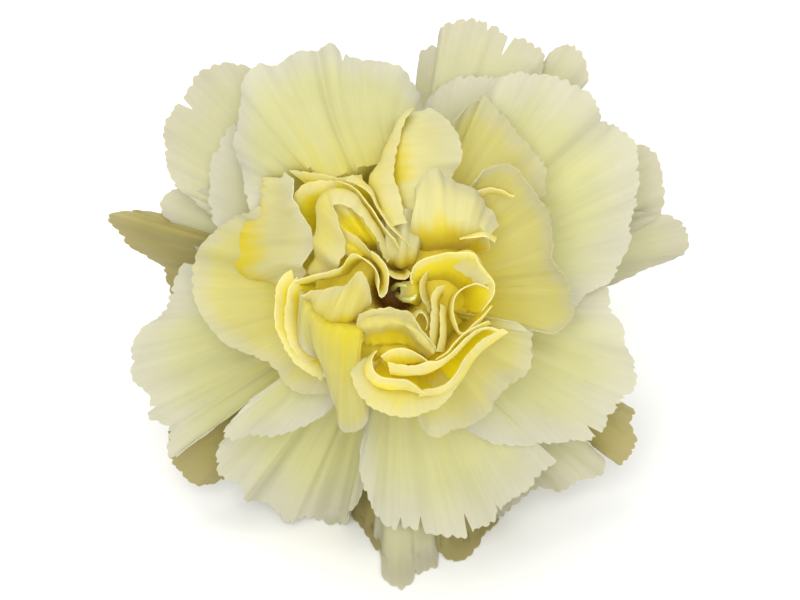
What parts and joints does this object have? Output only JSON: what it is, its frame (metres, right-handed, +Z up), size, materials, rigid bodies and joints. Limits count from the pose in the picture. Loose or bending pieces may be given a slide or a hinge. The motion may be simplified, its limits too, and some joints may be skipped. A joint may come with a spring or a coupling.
{
  "type": "cut carnation",
  "caption": "Pale yellow double carnation bloom on its calyx and a short cut stem, lying on a surface with its face tilted up.",
  "frame": {"origin": "centre of the flower's bounding box on the surface that it lies on", "axes": "+X to the right across the bloom as the picture shows it, +Y from the bloom's face towards the cut end of the stem, +Z up from the surface"},
  "size_m": [0.0787, 0.064, 0.0628],
  "materials": {
    "petals": "soft satin petal, cream at the margin and yellow towards the claw",
    "calyx": "smooth waxy green",
    "stem": "smooth waxy green",
    "styles": "matt pale green-white"
  },
  "bodies": {
    "root": {"bloom": "petals", "calyx": "calyx", "stem": "stem", "styles": "styles"}
  },
  "joints": []
}
